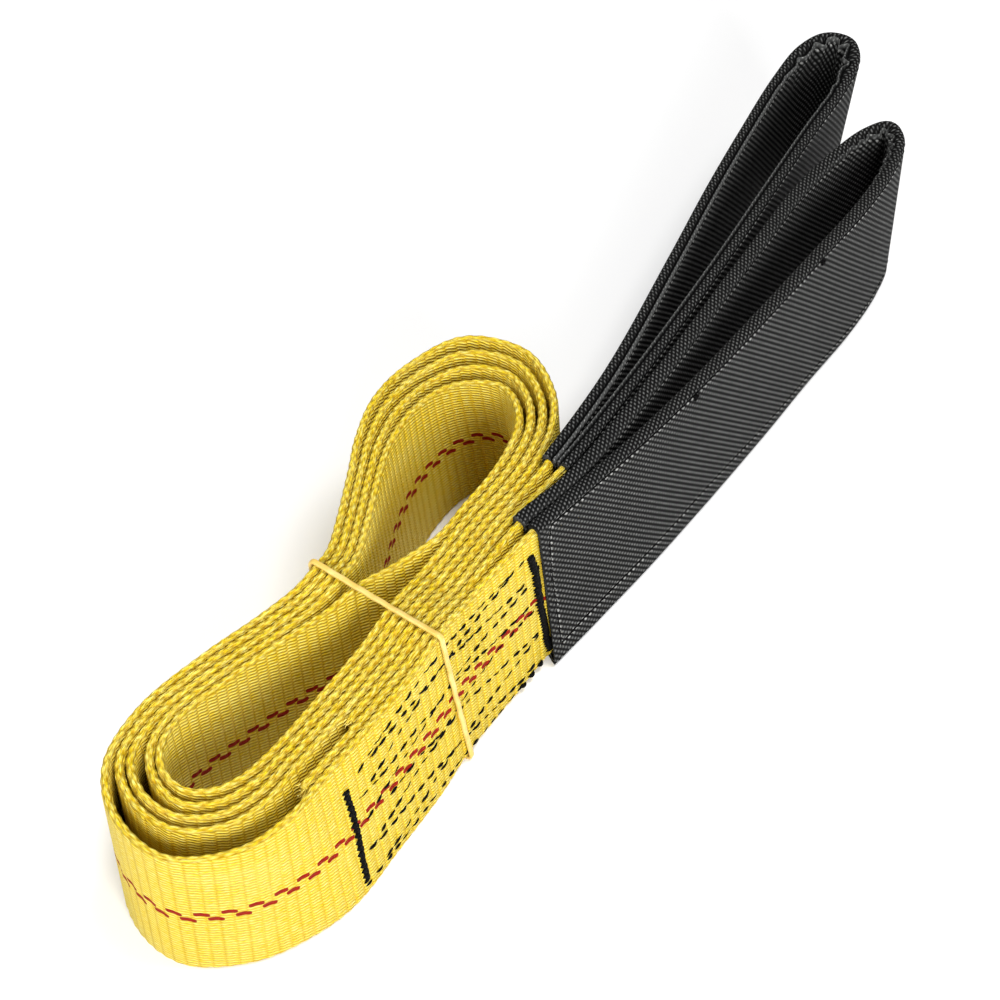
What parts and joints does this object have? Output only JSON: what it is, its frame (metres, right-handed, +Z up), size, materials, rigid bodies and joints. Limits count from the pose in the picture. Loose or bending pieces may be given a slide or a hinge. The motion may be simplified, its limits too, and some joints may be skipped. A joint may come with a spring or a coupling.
{
  "type": "web sling",
  "caption": "Flat woven web sling with a sleeved eye at each end, folded in half, rolled into a hank and held by a rubber band.",
  "frame": {"origin": "middle of the footprint of the hank with its eyes, on the floor that the webbing's edges stand on", "axes": "+X along the hank from the closed turns towards the tips of the eyes, -Y out of the stitched outer face, +Z up across the webbing's width"},
  "size_m": [0.3446, 0.0768, 0.0527],
  "materials": {
    "webbing": "woven polyester, matte with a slight sheen",
    "sleeve": "woven nylon, matte",
    "band": "satin"
  },
  "bodies": {
    "root": {"webbing": "webbing", "eye_sleeve_a": "sleeve", "eye_sleeve_b": "sleeve", "rubber_band": "band"}
  },
  "joints": []
}
